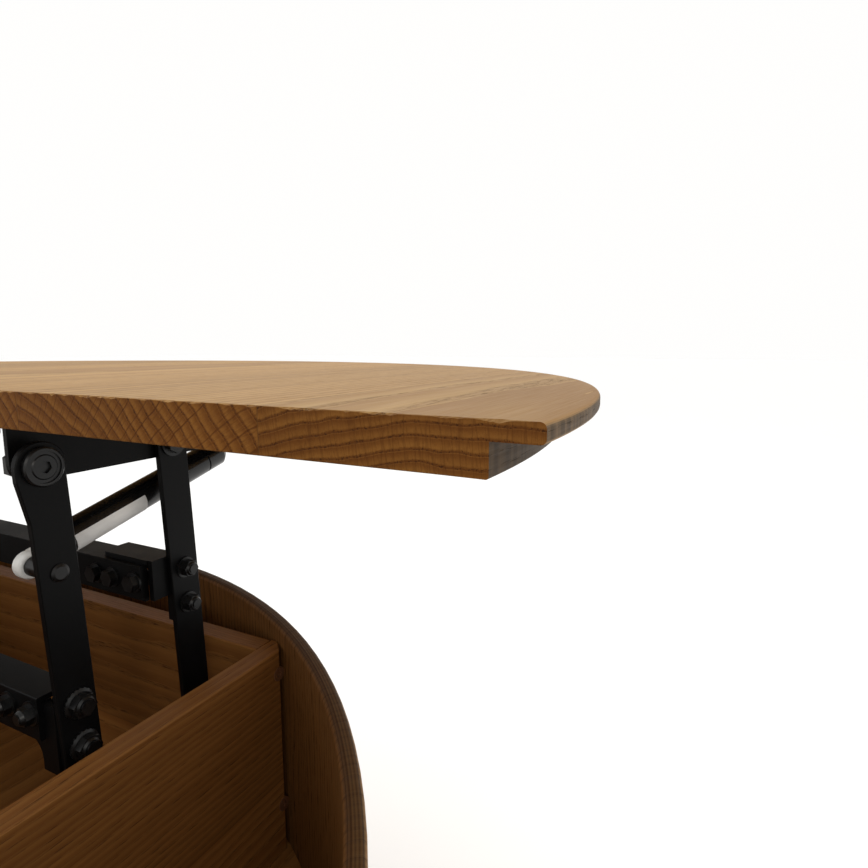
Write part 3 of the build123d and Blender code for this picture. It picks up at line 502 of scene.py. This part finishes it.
# ------------------------------------------------------------------ the two tops as detailed meshes
def top_mesh(name, yc, ys, z0, sign, seed):
    """Half of the round top. sign +1: the part at y > ys, -1: the part at y < ys. The straight edge is
    sawn crisp, with small chips along its upper arris; the round edge has an eased lip and a rabbet."""
    rnd = random.Random(seed)
    z1 = z0 + THICK
    zl = z1 - LIP
    rb = R_TOP - RABBET
    prof = [(rb - 0.0008, z0), (rb - 0.0002, z0 + 0.0003), (rb, z0 + 0.001), (rb, zl - 0.0001), (rb + 0.0004, zl),
            (R_TOP - 0.0017, zl)]
    for i in range(1, 5):
        a = math.radians(-90 + 22.5 * i)
        prof.append((R_TOP - 0.0017 + 0.0017 * math.cos(a), zl + 0.0017 + 0.0017 * math.sin(a)))
    for i in range(0, 7):
        a = math.radians(15 * i)
        prof.append((R_TOP - 0.0021 + 0.0021 * math.cos(a), z1 - 0.0021 + 0.0021 * math.sin(a)))
    off = (ys - yc) * sign
    NT = 360
    bm = bmesh.new()
    rings = []
    for (r, z) in prof:
        a0 = math.asin(max(-1, min(1, off / r)))
        row = []
        for j in range(NT + 1):
            a = a0 + (math.pi - 2 * a0) * j / NT
            x, y = r * math.cos(a), r * math.sin(a)
            if j in (0, NT):
                y = off
            row.append(bm.verts.new((x * sign, yc + y * sign, z)))
        rings.append(row)
    for k in range(len(rings) - 1):
        for j in range(NT):
            bm.faces.new((rings[k][j], rings[k][j + 1], rings[k + 1][j + 1], rings[k + 1][j]))
    top, bot = rings[-1], rings[0]
    x1 = abs(top[0].co.x)
    N = 900
    # chip depth along the arris
    wob = [0.0] * (N + 1)
    for _ in range(170):
        c = rnd.uniform(0, N)
        w = rnd.uniform(0.6, 4.0)
        d = rnd.uniform(0.0001, 0.00075) * (1.8 if rnd.random() < 0.12 else 1.0)
        for i in range(max(0, int(c - 3 * w)), min(N, int(c + 3 * w)) + 1):
            wob[i] += d * math.exp(-((i - c) / w) ** 2)
    inner, outer = [], []
    for i in range(1, N):
        x = x1 * (1 - 2 * i / N)
        d = min(0.0016, 0.00028 + wob[i])
        fade = min(1.0, min(i, N - i) / 8.0)
        d *= fade
        d2 = d * (0.55 + 0.35 * rnd.random())
        inner.append(bm.verts.new((x * sign, ys + sign * (d + 1e-5), z1)))
        outer.append(bm.verts.new((x * sign, ys, z1 - d2 - 1e-5)))
    # top face
    bm.faces.new(top + inner[::-1])
    # arris strip
    for i in range(N - 2):
        bm.faces.new((inner[i], outer[i], outer[i + 1], inner[i + 1]))
    bm.faces.new((top[0], outer[0], inner[0]))
    bm.faces.new((top[NT], inner[-1], outer[-1]))
    # bottom arris: small even chamfer
    xb = abs(bot[0].co.x)
    nb = 60
    bi, bo = [], []
    for i in range(1, nb):
        x = xb * (1 - 2 * i / nb)
        bi.append(bm.verts.new((x * sign, ys + sign * 0.0004, z0)))
        bo.append(bm.verts.new((x * sign, ys, z0 + 0.0004)))
    bm.faces.new(list(reversed(bot)) + bi)
    for i in range(nb - 2):
        bm.faces.new((bi[i + 1], bo[i + 1], bo[i], bi[i]))
    bm.faces.new((bot[0], bi[0], bo[0]))
    bm.faces.new((bot[NT], bo[-1], bi[-1]))
    # sawn straight face
    left = [rings[k][NT] for k in range(len(rings))]
    right = [rings[k][0] for k in range(len(rings))]
    face = right[::-1] + bo + left + outer[::-1]
    bm.faces.new(face)
    bmesh.ops.recalc_face_normals(bm, faces=bm.faces)
    bmesh.ops.triangulate(bm, faces=[f for f in bm.faces if len(f.verts) > 4], ngon_method="BEAUTY")
    me = bpy.data.meshes.new(name)
    bm.to_mesh(me)
    bm.free()
    for p in me.polygons:
        p.use_smooth = True
    o = bpy.data.objects.new(name, me)
    scene.collection.objects.link(o)
    me.set_sharp_from_angle(angle=math.radians(28))
    return o


lift = top_mesh("lift_top_oak", CY, YS, ZU, 1, 5)
assign(lift, M["oak_lift"])
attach(lift, "lift_top")
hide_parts("lift_top_panel")
fixed = top_mesh("fixed_top_oak", 0.0, fu.y, fl.z, -1, 9)
assign(fixed, M["oak_fixed"])
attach(fixed, "base")
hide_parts("fixed_top_panel")

# ------------------------------------------------------------------ stage, light, camera
fm = G("pale_floor")
fn = fm.noise(fm.vec(fm.mul(fm.x, 3.0), fm.mul(fm.y, 3.0), 0.0), 1.0, 3.0, 0.5)
fm.set(color=fm.mix(fn, (0.80, 0.80, 0.795), (0.84, 0.84, 0.835)), rough=0.8, spec=0.1)
fm.bsdf.inputs["Emission Color"].default_value = (1.0, 1.0, 1.0, 1.0)
fm.bsdf.inputs["Emission Strength"].default_value = 0.18
bpy.ops.mesh.primitive_plane_add(size=60.0, location=(0, 0, 0))
floor = bpy.context.object
floor.name = "studio_floor"
assign(floor, fm.mat)

world = bpy.data.worlds.new("studio")
scene.world = world
world.use_nodes = True
bg = world.node_tree.nodes["Background"]
bg.inputs[0].default_value = (1.0, 0.995, 0.985, 1.0)
bg.inputs[1].default_value = 1.0


def area(name, loc, target, size, power, color=(1, 1, 1), size_y=None):
    d = bpy.data.lights.new(name, "AREA")
    d.energy = power
    d.color = color
    d.size = size
    if size_y:
        d.shape = "RECTANGLE"
        d.size_y = size_y
    o = bpy.data.objects.new(name, d)
    scene.collection.objects.link(o)
    o.location = loc
    o.rotation_euler = (Vector(target) - Vector(loc)).to_track_quat("-Z", "Y").to_euler()
    return o


area("key", (-0.6, 1.6, 2.8), (0, 0.2, 0.5), 2.0, 22, (1.0, 0.97, 0.92))
area("window", (2.2, -1.9, 1.9), (0.2, 0.2, 0.42), 0.5, 16, (1.0, 0.95, 0.86))

cam = bpy.data.cameras.new("camera")
cam.sensor_width = 36.0
cam.lens = 606.66 / 868.0 * 36.0
cam.clip_start = 0.01
cam.shift_y = -1.0 / 868.0
co = bpy.data.objects.new("camera", cam)
scene.collection.objects.link(co)
co.location = (0.49559, 0.06717, 0.412 + 0.20109)
co.rotation_euler = (math.radians(90.0 - 8.2585), 0.0, math.radians(26.6244))
scene.camera = co

scene.view_settings.view_transform = "Standard"
